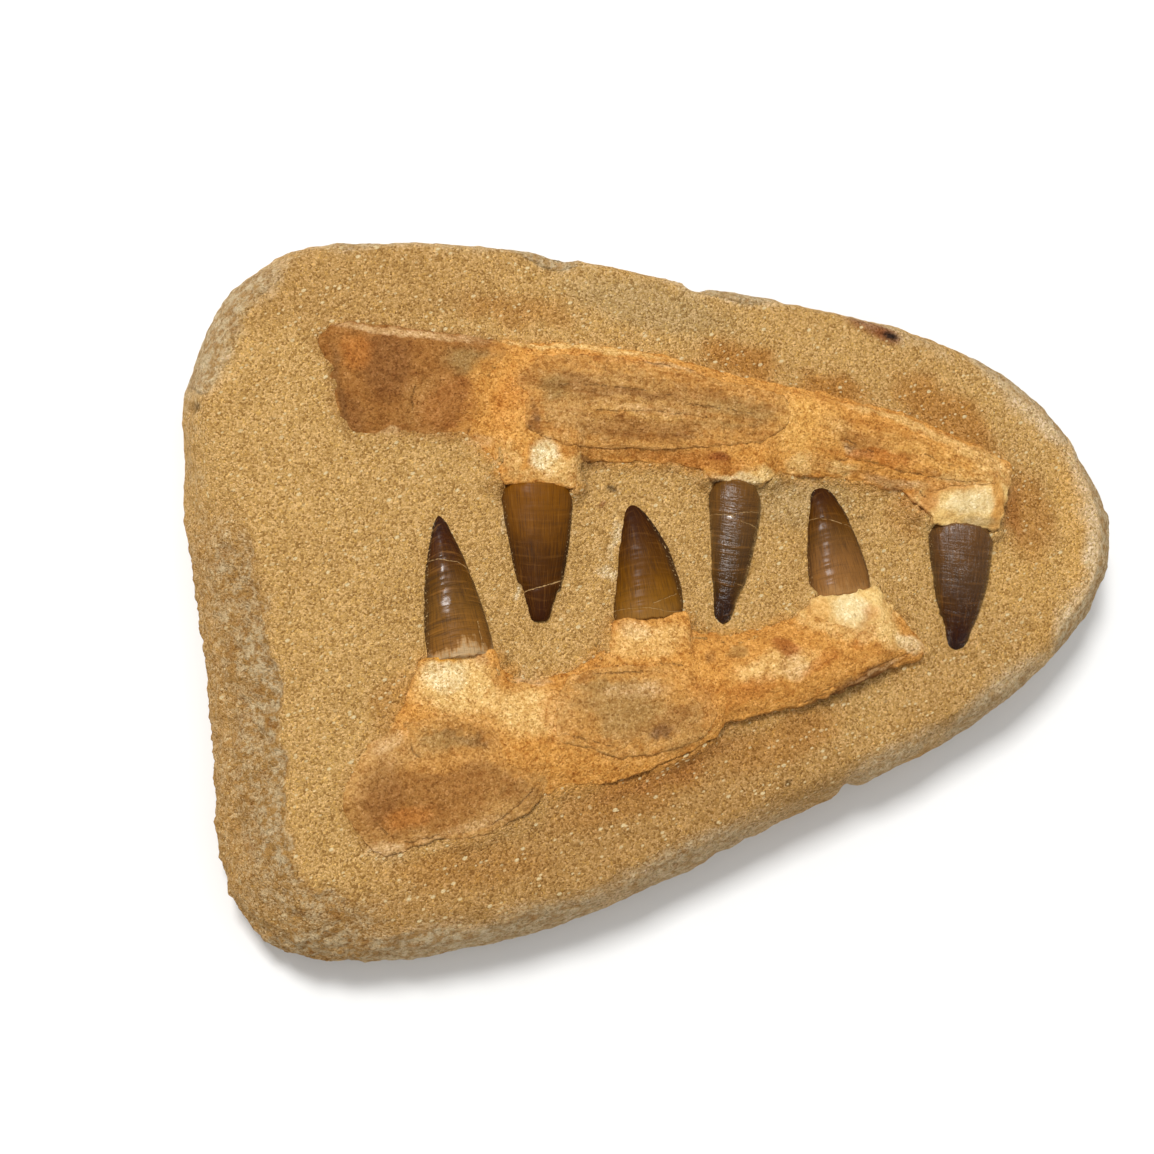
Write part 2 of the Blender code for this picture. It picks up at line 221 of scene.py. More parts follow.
def washOver(colours, places, washes):
    for tone, x, y, along, across, turn, strength in washes:
        cover = strength * spotAt(places, x, y, along, across, turn)
        colours += (palette[tone] - colours) * cover[:, None]


def wash(piece, ground, washes, wander):
    places = placesOf(piece)
    wandering = places + wander * driftAt(places, 7.0) + 0.5 * wander * driftAt(places, 2.2, 5.0)
    colours = np.tile(palette[ground], (len(places), 1))
    washOver(colours, wandering, washes)
    return colours


def crackLayer(piece, lines):
    # the way to the nearest crack, so that the shader can draw it sharply between the vertices
    away, offset = toLines(placesOf(piece), lines)
    far = 4 * smoothStep(0.7, 1.6, away)
    layer(piece, "crack", np.column_stack([offset, far]))
    return away


# Shader writing

class Value:
    # a socket that Python's operators work on; each adds a Math node
    def __init__(self, shader, socket):
        self.shader = shader
        self.socket = socket

    def __add__(self, other):
        return self.shader.maths("ADD", self, other)

    def __sub__(self, other):
        return self.shader.maths("SUBTRACT", self, other)

    def __rsub__(self, other):
        return self.shader.maths("SUBTRACT", other, self)

    def __mul__(self, other):
        return self.shader.maths("MULTIPLY", self, other)

    def __truediv__(self, other):
        return self.shader.maths("DIVIDE", self, other)

    def __pow__(self, other):
        return self.shader.maths("POWER", self, other)

    __radd__ = __add__
    __rmul__ = __mul__


class Shader:
    def __init__(self, name):
        self.material = bpy.data.materials.new(name)
        self.material.use_nodes = True
        self.tree = self.material.node_tree
        self.surface = self.tree.nodes["Principled BSDF"]
        place = self.node("ShaderNodeTexCoord", out="Object")
        self.place = self.node("ShaderNodeVectorMath", {"operation": "SCALE"}, {0: place, "Scale": 1 / mm})

    def node(self, kind, settings={}, sockets={}, out=0):
        made = self.tree.nodes.new(kind)
        for name, value in settings.items():
            if name == "stops":
                ramp = made.color_ramp.elements
                ramp.remove(ramp[1])
                ramp[0].position, ramp[0].color = value[0][0], (*value[0][1], 1)
                for stop, colour in value[1:]:
                    ramp.new(stop).color = (*colour, 1)
            else:
                setattr(made, name, value)
        self.feed(made, sockets)
        return Value(self, made.outputs[out])

    def feed(self, node, sockets):
        for name, value in sockets.items():
            if isinstance(value, Value):
                self.tree.links.new(value.socket, node.inputs[name])
            else:
                node.inputs[name].default_value = value

    def maths(self, operation, *values):
        return self.node("ShaderNodeMath", {"operation": operation}, dict(enumerate(values)))

    def vectors(self, operation, *values, out=0):
        settings = {"operation": operation}
        return self.node("ShaderNodeVectorMath", settings, dict(enumerate(values)), out)

    def mix(self, share, under, over, blend="MIX"):
        ends = [(*end, 1) if isinstance(end, (tuple, np.ndarray)) else end for end in (under, over)]
        settings = {"data_type": "RGBA", "blend_type": blend}
        return self.node("ShaderNodeMix", settings, {0: share, 6: ends[0], 7: ends[1]}, 2)

    def layered(self, colour, rows, colours=tints, blend="MULTIPLY"):
        # a row is a value, the levels where it starts and is full, its strength and a colour's name
        for value, start, full, strength, name in rows:
            colour = self.mix(self.level(value, start, full) * strength, colour, colours[name], blend)
        return colour

    def level(self, value, low, high):
        sockets = {"Value": value, "From Min": low, "From Max": high}
        return self.node("ShaderNodeMapRange", {"interpolation_type": "SMOOTHSTEP"}, sockets)

    def noise(self, span, detail=2.0, rough=0.5, where=None, out="Fac"):
        sockets = {"Vector": where or self.place, "Scale": 1 / span, "Detail": detail, "Roughness": rough}
        return self.node("ShaderNodeTexNoise", {}, sockets, out)

    def cells(self, span, out="Distance", where=None):
        sockets = {"Vector": where or self.place, "Scale": 1 / span}
        return self.node("ShaderNodeTexVoronoi", {}, sockets, out)

    def part(self, colour, name="Red"):
        return self.node("ShaderNodeSeparateColor", {}, {0: colour}, name)

    def painted(self, name, out="Vector"):
        return self.node("ShaderNodeAttribute", {"attribute_name": name}, {}, out)

    def turned(self, turn, scale, origin=(0, 0, 0)):
        sockets = {"Vector": self.place, "Location": origin, "Rotation": (0, 0, turn), "Scale": scale}
        return self.node("ShaderNodeMapping", {"vector_type": "TEXTURE"}, sockets)

    def crackMask(self, width, wander):
        drift = self.noise(1.6, 3, 0.6, out="Color")
        centred = self.vectors("SUBTRACT", drift, (0.5, 0.5, 0.5))
        path = self.vectors("MULTIPLY_ADD", centred, (wander,) * 3, self.painted("crack"))
        reach = self.vectors("LENGTH", path, out="Value")
        return 1 - self.level(reach, width * 0.35, width)

    def bump(self, height, depth, strength=1.0):
        sockets = {"Height": height, "Distance": depth * mm, "Strength": strength}
        return self.node("ShaderNodeBump", {}, sockets)

    def finish(self, sockets):
        self.feed(self.surface, sockets)
        return self.material


# The slab

slab = {
    "voxel": 0.86,
    "cutAt": 0.4,
    "smoothing": 6,
    # the outline that insets are measured from is the one at this height
    "outlineHeight": 13,
    # blocks that fill the beds under the jaws and crowns: west, east, south, north
    "fill": [
        (-99, 62, 22, 70), (60, 96, 10, 50), (-92, -30, -73, 2), (-31, 12, -55, 2), (9, 45, -40, 6),
        (44, 71, -28, 6), (-76, 92, -16, 37),
    ],
    # the height of the blocks' middles, and how far under the face they end
    "fillMiddle": 25,
    "underFace": 0.03,
    # dents in the rim: x, y, reach, depth
    "dents": [
        (-32, 92, 6, 1.0), (6, 88, 5, 2.2), (52, -51, 5, 2.0), (16, -71, 6, 1.2), (-129, 45, 2.5, 1.6),
    ],
    # how far in the worn grip wall reaches, how far its shoulder stands up and how far it lies back
    "gripWall": 15,
    "shoulder": 0.9,
    "wallSunk": 1.2,
    # uneven relief: name, depth, where, span, detail and sometimes the kind of noise
    "relief": [
        ("slab waves", 1.5, "all", 30, 1), ("face waves", 0.55, "all", 8, 2),
        ("broken side", 1.4, "side", 9, 3), ("left wall lumps", 3.4, "wall", 9, 4, "IMPROVED_PERLIN"),
        ("crusty side", 1.9, "crust", 2.6, 3), ("sand ripple", 0.34, "all", 2.2, 2),
    ],
    # every wash is a tone, x, y, along, across, turn, strength
    "washes": [
        # the broad deepSand washes at y -70 and -62 make the face darker towards the bottom
        ("deepSand", -86, 80, 44, 14, 8, 0.4), ("deepSand", -10, -70, 90, 22, 18, 0.6),
        ("deepSand", 84, -20, 30, 16, 40, 0.35), ("oliveSand", -8, 79, 26, 7, -8, 0.55),
        ("oliveSand", 34, 27, 14, 8, 0, 0.5), ("deepSand", -54, 76, 16, 4, 0, 0.4),
        ("stain", -43, 75, 15, 5, 0, 0.55), ("stain", 18, 65, 12, 6, -10, 0.9),
        ("stain", 45, 58, 10, 5, -15, 0.9), ("stain", 77, 52, 18, 8, -38, 0.85),
        ("stain", 101, 26, 7, 14, 8, 0.7), ("rust", 96, 26, 4, 9, 8, 0.45),
        ("stain", -12, -52, 26, 7, 24, 0.8), ("stain", 27, -39, 20, 6, 27, 0.7),
        ("stain", -56, -72, 22, 6, 6, 0.6), ("stain", -76, -33, 6, 10, -20, 0.5),
        ("stain", 64, 23, 6, 6, 0, 0.35), ("deepSand", -20, -62, 60, 14, 20, 0.35),
        ("rust", -2, -46, 22, 3.5, 24, 0.4), ("soot", -19, 28, 0.9, 0.9, 0, 0.8),
        ("redBrown", -21.6, 22.5, 1.3, 0.8, 40, 0.7), ("soot", 29.6, -50, 1.1, 0.9, 40, 0.6),
        ("soot", 52.3, 22.8, 1.2, 1.1, 0, 0.5), ("shell", -17.8, 15, 1.0, 6, -6, 0.6),
        ("shell", -19.4, 5, 2.2, 1.6, 0, 0.6), ("shell", -47.6, 19, 0.7, 6, -6, 0.5),
        ("shell", -43.8, -1, 0.9, 2.2, 0, 0.85), ("shade", -24, 34.6, 5, 0.9, 0, 0.6),
        ("gold", 117, 24, 8, 28, 6, 0.5), ("gold", 110, -10, 12, 16, -30, 0.4),
        ("gold", 98, 8, 12, 10, 0, 0.3),
    ],
    # the pale rim's width, how much wider it is towards the snout, its strength and the grip wall's brown
    "paleRim": 11,
    "widerRim": 6,
    "rimPaleness": 0.55,
    "wallBrown": 0.3,
    # spots that show through the worn rim too
    "marks": [
        ("redBrown", 56, 77, 8, 2.6, -16, 0.7), ("redBrown", 60.5, 74.6, 4.4, 2.4, -16, 0.7),
        ("soot", 61.5, 74.8, 2.6, 1.3, -16, 0.95), ("soot", -128.6, 45, 1.7, 1.4, 0, 0.8),
    ],
    # how far the sand is banked against the bones, and the share of their height that it climbs everywhere
    "bank": 5.4,
    "climb": 0.22,
    # where it climbs higher: x, y, along, across, turn, share of their height
    "climbs": [
        (-68, 38, 16, 5, 0, 0.95), (-51, 31, 5, 9, 0, 0.9), (-28.5, 31, 4, 8, 0, 0.95),
        (-8, 37, 20, 5, 0, 0.85), (5, 33, 5, 6, 0, 0.9), (28, 33, 6, 5, 0, 0.9),
        (50, 34, 18, 4, -6, 0.85), (67, 27, 5, 8, 30, 0.85), (89, 20, 4, 4, 0, 0.7),
        (-72, -26, 3, 12, -14, 0.5), (-46, -23, 10, 6, 0, 0.95), (-21, -14, 4, 8, 0, 0.95),
        (4, -13, 4, 8, 0, 0.95), (14, -13, 10, 4, 10, 0.85), (29, -8, 12, 4, 18, 0.7),
        (36, -1, 3, 6, 20, 0.7), (-78, -67, 10, 4, -20, 0.75), (-86, -50, 3, 12, 0, 0.6),
        (-54, -64, 10, 4, 20, 0.85), (-30, -50, 14, 5, 16, 0.9), (0, -42, 12, 4, 28, 0.85),
        (-92, 50, 3, 14, 10, 0.5),
    ],
    # pale worn crust on the rim: x, y, along, across, turn, strength
    "crusts": [
        (-120, 68, 24, 10, 52, 0.8), (-116, 76, 6, 5, 40, 0.9), (-125, 56, 5, 8, 0, 0.8),
        (-80, 94, 30, 5, 3, 0.6), (-40, 92.5, 16, 4, -4, 0.75), (14, 86, 20, 5, -8, 0.7),
        (60, 77, 20, 4, -28, 0.5), (97, 63, 20, 6, -42, 0.7), (110, 50, 7, 5, -50, 0.75),
        (122, 24, 9, 28, 8, 0.95), (118, -2, 9, 15, -30, 0.95), (92, -26, 20, 8, 40, 0.65),
        (62, -42, 16, 6, 34, 0.6), (5, -70, 30, 8, 24, 0.6), (-34, -86, 20, 7, 16, 0.7),
        (-62, -92, 30, 6, 8, 0.85), (-106, -30, 6, 30, 12, 0.8), (-103, -62, 7, 16, 8, 0.85),
        (-92, -92, 22, 6, 0, 0.8),
    ],
}


def shapeSlab():
    piece = copyOf("matrix_slab", "sandstoneSlab")
    fillers = []
    for west, east, south, north in slab["fill"]:
        middle = ((west + east) / 2 * mm, (south + north) / 2 * mm, slab["fillMiddle"] * mm)
        bpy.ops.mesh.primitive_cube_add(size=1, location=middle)
        filler = bpy.context.object
        height = 2 * (faceHeight - slab["underFace"] - slab["fillMiddle"])
        filler.dimensions = ((east - west) * mm, (north - south) * mm, height * mm)
        fillers.append(filler)
    workOn(piece)
    for filler in fillers:
        filler.select_set(True)
    bpy.ops.object.join()
    remesh(piece, slab["voxel"])
    cutFlat(piece, slab["cutAt"], 0.0)
    applied(piece, "SMOOTH", factor=0.5, iterations=slab["smoothing"])

    places, normals = placesOf(piece), normalsOf(piece)
    outline = places[np.abs(places[:, 2] - slab["outlineHeight"]) < 0.7]
    rim = treeOf([(x, y, 0) for x, y, _ in outline.tolist()])
    inset = np.array([rim.find((x, y, 0))[2] for x, y, _ in places.tolist()])
    above = smoothStep(0.5, 3.0, places[:, 2])
    side = smoothStep(0.97, 0.75, normals[:, 2]) * above
    west = smoothStep(26, 6, places[:, 1]) * smoothStep(-60, -90, places[:, 0])
    uneven = inset + 3.4 * grainAt(places, 9) + 1.6 * grainAt(places, 3.2)
    wall = slab["gripWall"]
    shoulder = west * smoothStep(wall - 2, wall + 2, uneven) * smoothStep(wall + 9, wall + 5, uneven)
    leftWall = west * smoothStep(wall + 4, wall, uneven) * above
    displace(piece, slab["shoulder"], weights=shoulder, direction="Z")
    displace(piece, -slab["wallSunk"], weights=leftWall * smoothStep(1, 8, inset))
    areas = {"all": above, "side": side, "wall": leftWall, "crust": np.maximum(side * 0.3, leftWall)}
    for name, depth, area, *cloud in slab["relief"]:
        displace(piece, depth, clouds(name, *cloud), areas[area])
    for x, y, reach, depth in slab["dents"]:
        away = np.hypot(places[:, 0] - x, places[:, 1] - y)
        displace(piece, -depth, weights=smoothStep(reach, reach * 0.2, away) * above)
    return piece, inset, leftWall


print("slab: shape")
slabPiece, slabInset, slabLeftWall = shapeSlab()


# The jaws

jaws = {
    "voxel": 0.46,
    # heights of the cut through the solids and of the flat underside that it becomes
    "cutAt": 30.0,
    "bottom": 29.6,
    "smoothing": 9,
    # how far a wall is pushed into the neighbour that it faces
    "overlap": 1.1,
    # depths of the relief that all jaw pieces have; ragged is for their walls
    "swell": 0.4,
    "ragged": 1.6,
    "socketRagged": 2.6,
    "pits": 0.42,
    "streakDepth": 0.6,
    "crackDepth": 0.2,
}

# washes are as in the slab, and cracks are drawn in plan
# streak is how strong the grain along a bone is, turn its direction in degrees and lumps a depth in mm
jawLooks = {
    "upper_jaw_rear": {
        "ground": "brown", "finish": "bone", "streak": 0.25, "turn": 4, "lumps": 0.8, "slot": "brown_bone",
        "washes": [
            ("darkBrown", -79, 57, 7, 10, 0, 0.6), ("deepOrange", -87, 60, 4.5, 4, 0, 0.4),
            ("tan", -66, 47, 9, 8, 0, 0.45), ("rust", -63, 47, 9, 7, 30, 0.45),
            # the thin beige wash along the top edge, at y 66.4, is a painted highlight on its bevel
            ("grey", -56, 59, 9, 4.5, -8, 0.75), ("beige", -74, 66.4, 20, 1.5, -3, 0.75),
            ("orange", -52, 55, 5, 6, 0, 0.6), ("beige", -79, 39, 4, 0.9, 20, 0.8),
            ("darkBrown", -88, 42, 3, 8, 10, 0.5), ("tan", -70, 38.6, 8, 1.6, 0, 0.5),
            ("shade", -91.5, 50, 1.2, 12, 10, 0.55), ("sand", -80, 37.6, 8, 1.6, 0, 0.6),
        ],
        "cracks": [[(-81.5, 37.6), (-79, 38.6), (-77, 40)], [(-72, 42), (-72.6, 49), (-71, 55)]],
    },
    "upper_jaw_middle": {
        "ground": "tan", "finish": "bone", "streak": 0.6, "turn": -4, "lumps": 0.8, "slot": "brown_bone",
        "washes": [
            ("darkBrown", -30, 54, 8, 3, -6, 0.45), ("gold", -14, 47, 14, 2.4, -3, 0.4),
            ("purple", -41, 44.5, 1.4, 4, 10, 0.85), ("grey", -36, 53, 5, 4, 0, 0.6),
            ("grey", 14, 48, 11, 5, -6, 0.4), ("brown", 5, 54, 9, 2.4, -6, 0.6),
            ("brown", -12, 43, 16, 3, 0, 0.6), ("darkBrown", -12, 52, 12, 1.2, -2, 0.5),
            ("beige", -8, 48, 14, 1.2, -1, 0.4), ("brown", 18, 44, 6, 2, 10, 0.5),
            ("darkBrown", -5, 41.5, 10, 1.3, 2, 0.5), ("orange", 8, 47, 12, 1.2, -3, 0.35),
        ],
        "cracks": [
            [(-34, 53.4), (-24, 53.8), (-12, 53), (-4, 52)], [(-24, 47), (-8, 47.6), (6, 46.6)],
            [(-2, 50), (8, 49.4), (20, 48)],
        ],
    },
    "upper_jaw_front": {
        "ground": "orange", "finish": "bone", "streak": 0.6, "turn": -13, "lumps": 0.9, "slot": "pale_bone",
        "washes": [
            ("tan", 60, 41, 16, 4, -14, 0.4), ("gold", 36, 46, 9, 7, -10, 0.7),
            ("gold", 70, 39, 16, 4, -16, 0.5), ("cream", 64, 47.5, 20, 1.4, -16, 0.5),
            ("beige", 48, 40, 5, 1.2, -25, 0.7), ("brown", 49, 42, 6, 3, -20, 0.55),
            ("deepOrange", 54, 38.5, 10, 1.6, -6, 0.6), ("cream", 44, 35, 5, 2.0, 0, 0.6),
            ("deepOrange", 66, 24, 3.4, 6, 20, 0.7), ("orange", 90, 28, 2.2, 8, 4, 0.8),
            ("beige", 60, 32, 9, 1.6, -10, 0.6), ("brown", 72, 33.6, 8, 1.0, -8, 0.6),
            ("cream", 84, 39, 9, 3, -20, 0.55), ("tan", 42, 46, 6, 3, 0, 0.5),
        ],
        "cracks": [
            [(41, 36.4), (46, 37.4), (51, 37.1), (56, 36), (61, 34.8), (70, 33), (78.5, 32), (86, 33)],
            [(45, 42.5), (49, 40.8), (53, 39.6)], [(44.5, 40.8), (48, 39.6), (51, 39.4)],
            [(66, 40), (72, 37), (77, 36)],
        ],
    },
    "upper_jaw_paste": {
        "ground": "orange", "finish": "paste", "streak": 0, "lumps": 0.9, "slot": "bone_paste",
        "washes": [
            ("deepOrange", -47, 48, 5, 9, 0, 0.35), ("beige", -39, 57, 1.3, 1.3, 0, 0.9),
            ("paleCream", -38, 34, 3.6, 4.5, 10, 0.95), ("cream", -34, 31, 4, 3, 0, 0.7),
            ("brown", -41.5, 55, 3.4, 3, 30, 0.45), ("orange", -10, 61, 30, 1.6, -4, 0.6),
            # the thin cream wash along the top edge, at y 64.2, is a painted highlight on its bevel
            ("cream", -28, 64.2, 24, 1.0, -3.5, 0.7), ("deepOrange", -18, 61, 12, 1.0, -3, 0.4),
            ("brown", -20, 36.8, 12, 1.6, 2, 0.45), ("redBrown", 9.5, 36.2, 3.6, 1.3, 5, 0.85),
            ("rust", 2, 35.6, 16, 2.6, -8, 0.5), ("cream", 22, 31.2, 6, 3, 0, 0.9),
            ("orange", 28, 37, 7, 4, 0, 0.5), ("gold", 32, 46, 7, 9, 0, 0.75),
            ("gold", -46, 40, 6, 7, 0, 0.3), ("cream", 34, 36, 5, 2.4, 0, 0.6),
            ("beige", -56, 38.5, 6, 2, 0, 0.4), ("shade", -26, 34.2, 5, 0.9, 6, 0.75),
            ("paleCream", 15, 31, 7, 1.2, 0, 0.6), ("beige", -4, 60.4, 8, 0.9, -8, 0.7),
            ("sand", -29.6, 31, 3, 5, 0, 0.85), ("sand", -39, 28.6, 11, 1.8, 0, 0.7),
            ("sand", -47, 33, 3, 5, 20, 0.7),
        ],
        "cracks": [
            [(-38, 61), (-33, 61.4), (-28, 62.2), (-20, 61.4)], [(-12, 61.3), (-8, 61), (-4, 60.8)],
            [(2, 60.2), (6, 59.4)],
            [(-29, 40.2), (-22, 39.6), (-15, 39.8)], [(-3, 41), (3, 40.6), (8, 40.2), (16, 41.6)],
        ],
    },
    "upper_front_socket": {
        "ground": "cream", "finish": "cream", "streak": 0, "lumps": 0.8, "slot": "cream_paste",
        "washes": [
            ("paleCream", 80, 27, 7, 4, 0, 0.7), ("orange", 88.6, 27, 2.4, 8, 4, 0.85),
            ("deepOrange", 69, 27, 2.6, 5, 0, 0.6), ("oliveSand", 84, 21.4, 6, 1.5, 8, 0.7),
            ("deepOrange", 75, 31.6, 8, 1.2, 4, 0.5),
        ],
        "cracks": [[(70, 29), (73, 30.4), (79, 31.4), (87, 32)]],
    },
    "lower_jaw_rear": {
        "ground": "tan", "finish": "bone", "streak": 0.15, "turn": 18, "lumps": 0.8, "slot": "brown_bone",
        "washes": [
            ("brown", -66, -55, 21, 9, 18, 0.85), ("darkBrown", -79, -54, 5, 9, -10, 0.45),
            ("darkBrown", -57, -39.5, 8, 3.0, -8, 0.65), ("grey", -63, -40, 9, 4, 0, 0.5),
            ("beige", -77, -42, 5, 2.6, 40, 0.6), ("beige", -77, -67.6, 4.5, 2, 0, 0.85),
            ("deepOrange", -72, -60, 6, 3, 20, 0.4), ("beige", -58, -63, 12, 1.6, 14, 0.4),
            ("orange", -62, -46, 12, 2.4, 12, 0.4), ("brown", -44, -52, 5, 5, 40, 0.5),
        ],
        "cracks": [
            [(-73, -37.6), (-72, -41), (-71, -44.4), (-68, -46)],
            [(-80, -62), (-76, -65.4), (-71, -66.6), (-64, -64.6)],
            [(-38.6, -51.4), (-43.7, -57), (-51, -62.4), (-58, -64)],
        ],
    },
    "lower_jaw_middle": {
        "ground": "tan", "finish": "bone", "streak": 0.2, "turn": 20, "lumps": 0.7, "slot": "brown_bone",
        "washes": [
            ("grey", -18, -32, 13, 7, 12, 0.45), ("purple", -6.6, -38, 3.4, 2.2, 20, 0.6),
            ("grey", -24, -25, 8, 3, 0, 0.5), ("darkBrown", -28, -23.4, 2.4, 1.2, 0, 0.6),
            ("orange", -2, -26, 8, 5, 20, 0.5), ("brown", -3, -34, 7, 3, 30, 0.4),
            ("beige", -14, -27, 8, 2, 5, 0.4), ("orange", -28, -36, 5, 4, 0, 0.4),
        ],
        "cracks": [
            [(-33, -38.6), (-28, -39.8), (-19.7, -41.9)], [(-29, -22.6), (-22, -22.8), (-12, -22.2)],
        ],
    },
    "lower_jaw_front": {
        "ground": "orange", "finish": "bone", "streak": 0.3, "turn": 22, "lumps": 0.9, "slot": "pale_bone",
        "washes": [
            ("cream", 24, -20, 12, 4, 12, 0.6), ("rust", 27.5, -15.4, 4.4, 2.8, -8, 0.85),
            ("beige", 29, -20.4, 5, 3, 0, 0.5), ("cream", 52, -8, 9, 5, -30, 0.75),
            ("deepOrange", 49, -11.5, 5, 2, 30, 0.6), ("grey", 14, -16, 3.4, 1.8, 30, 0.5),
            ("deepOrange", 15, -27, 9, 3.4, 25, 0.45), ("deepOrange", 36, -19, 6, 2, 30, 0.45),
            ("paleCream", 62, -12, 5, 2, -20, 0.6), ("shade", 46, -24.4, 15, 2.6, 26, 0.75),
            ("darkBrown", 51, -21, 8, 2.2, 28, 0.5), ("beige", 54, -19.4, 10, 0.6, 25, 0.4),
        ],
        "cracks": [
            [(37, -26.2), (44, -23.4), (50, -20.4), (57, -17.2), (64, -14.2)],
            [(40, -27), (48, -23.6), (58, -19)], [(20, -33), (30, -30), (38, -26.8)],
        ],
    },
    "lower_jaw_paste": {
        "ground": "orange", "finish": "paste", "streak": 0, "lumps": 0.8, "slot": "bone_paste",
        "washes": [
            ("cream", -60, -27, 11, 8, -10, 0.8), ("paleCream", -63, -24, 6, 4, 0, 0.6),
            ("ochre", -63.6, -20.4, 4.6, 1.5, 0, 0.95), ("cream", -40, -33, 12, 7, 0, 0.7),
            ("cream", -10, -14, 12, 5, 10, 0.45), ("paleCream", -14, -11, 5, 3, 0, 0.25),
            ("deepOrange", -34, -34, 5, 7, 10, 0.35), ("orange", -26, -47, 12, 5, 20, 0.7),
            ("deepOrange", 3, -30, 6, 6, 30, 0.4), ("darkBrown", 6.3, -17.6, 2.0, 1.5, 40, 0.5),
            ("beige", -54, -20, 2, 3, 0, 0.5), ("grey", 0, -40, 6, 2.5, 30, 0.5),
            ("beige", -40, -24.6, 5, 1.2, 0, 0.6),
        ],
        "cracks": [
            [(-29.4, -20.2), (-22, -20.8), (-14.8, -20.6), (-7, -20), (-1.3, -20.2)],
            [(-45, -24), (-40, -25.4), (-35, -24.6)],
        ],
    },
    "lower_front_socket": {
        "ground": "cream", "finish": "cream", "streak": 0, "lumps": 0.7, "slot": "cream_paste",
        "washes": [
            ("paleCream", 46, -4, 5, 5, 30, 0.8), ("orange", 37, -4, 4, 4, 0, 0.55),
            ("deepOrange", 51, -5, 3, 3, 30, 0.45), ("rust", 48, -9, 3, 1.6, 30, 0.45),
        ],
        "cracks": [[(45.6, -4), (47, -7), (49.4, -9.6)]],
    },
}


def spread(piece, node):
    # pushes the walls that face a neighbour into it, so that no groove shows between the two
    others = [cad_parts[other] for other in jawLooks if other != node and other[:5] == node[:5]]
    mesh = bmesh.new()
    mesh.from_mesh(piece.data)
    pushes = {}
    for face in mesh.faces:
        middle = face.calc_center_median()
        nearest = min((other.closest_point_on_mesh(middle)[1] - middle).length for other in others)
        if abs(face.normal.z) < 0.3 and nearest < 0.6 * mm:
            for vert in face.verts:
                pushes[vert] = pushes.get(vert, Vector()) + face.normal * face.calc_area()
    for vert, push in pushes.items():
        push.z = 0
        vert.co += push.normalized() * jaws["overlap"] * mm
    mesh.to_mesh(piece.data)
    mesh.free()


def pieceName(node):
    words = node.split("_")
    return words[0] + "".join(word.title() for word in words[1:])


def shapeJawPiece(node, look):
    piece = copyOf(node, pieceName(node))
    spread(piece, node)
    remesh(piece, jaws["voxel"])
    cutFlat(piece, jaws["cutAt"], jaws["bottom"])
    applied(piece, "SMOOTH", factor=0.5, iterations=jaws["smoothing"])
    places, normals = placesOf(piece), normalsOf(piece)
    above = smoothStep(30.2, 31.4, places[:, 2])
    side = smoothStep(0.75, 0.35, np.abs(normals[:, 2])) * above
    displace(piece, jaws["swell"], weights=side)
    ragged = jaws["socketRagged"] if look["finish"] == "cream" else jaws["ragged"]
    displace(piece, ragged, clouds(node[:5] + " ragged edge", 3.2, 3), side)
    displace(piece, look["lumps"], clouds(node[:5] + " lumps", 6, 2), above)
    displace(piece, jaws["pits"], clouds(node[:5] + " pits", 1.9, 3), above)
    if look["finish"] == "bone":
        displace(piece, 0.16, weights=above, direction="Z")
    if look["streak"]:
        streaks = stretched("streaks", look["turn"], 9)
        depth = jaws["streakDepth"] * look["streak"]
        displace(piece, depth, clouds("streak", 1.3, 3), above, space=streaks)
        bpy.data.objects.remove(streaks)
    away = crackLayer(piece, look["cracks"])
    displace(piece, -jaws["crackDepth"], weights=smoothStep(0.6, 0.1, away) * above)
    return piece


print("jaws: shape")
jawPieces = {node: shapeJawPiece(node, look) for node, look in jawLooks.items()}


def bankSand():
    # raises the sand beside the bones, so that they come out of it as unevenly as real ones do
    tops = []
    for piece in jawPieces.values():
        flat = normalsOf(piece)[:, 2] > 0.86
        tops += [place for place in placesOf(piece)[flat].tolist() if place[2] > faceHeight + 0.4]
    bones = treeOf([(x, y, 0) for x, y, _ in tops])
    places = placesOf(slabPiece)
    climb = np.full(len(places), slab["climb"])
    for bank in slab["climbs"]:
        climb = np.maximum(climb, bank[5] * spotAt(places, *bank[:5]))
    rise, nearBone = np.zeros(len(places)), np.full(len(places), 99.0)
    for i in np.flatnonzero(places[:, 2] > faceHeight - 3).tolist():
        _, hit, away = bones.find((places[i, 0], places[i, 1], 0))
        if away < 7:
            nearBone[i] = away
            rise[i] = (tops[hit][2] - faceHeight) * (0.7 if away < 0.4 else 1)
    ragged = nearBone + 2.0 * grainAt(places, 3.4) + 0.8 * grainAt(places, 1.3)
    rise *= climb * smoothStep(slab["bank"], 0.9, ragged)
    displace(slabPiece, 8, weights=rise / 8, direction="Z")
    return nearBone, climb


print("jaws: sand banked against them")
slabNearBone, slabClimb = bankSand()


def paintJaws():
    # the washes, and then a mottled change from each piece to the next
    places = {node: placesOf(piece) for node, piece in jawPieces.items()}
    colours = {}
    for node, look in jawLooks.items():
        colours[node] = wash(jawPieces[node], look["ground"], look["washes"], 1.6)
    for node, piece in jawPieces.items():
        others = [other for other in places if other != node and other[:5] == node[:5]]
        near = treeOf(np.concatenate([places[other] for other in others]).tolist())
        theirs = np.concatenate([colours[other] for other in others])
        found = [near.find(place) for place in places[node].tolist()]
        away = np.array([hit[2] for hit in found])
        share = 0.5 * smoothStep(2.6, 0.2, away + 1.8 * grainAt(places[node], 1.5))
        mixed = colours[node] + (theirs[[hit[1] for hit in found]] - colours[node]) * share[:, None]
        layer(piece, "wash", mixed)
        colours[node] = mixed
    return np.concatenate(list(places.values())), np.concatenate(list(colours.values()))


print("jaws: paint")
bonePlaces, boneColours = paintJaws()


# The crowns

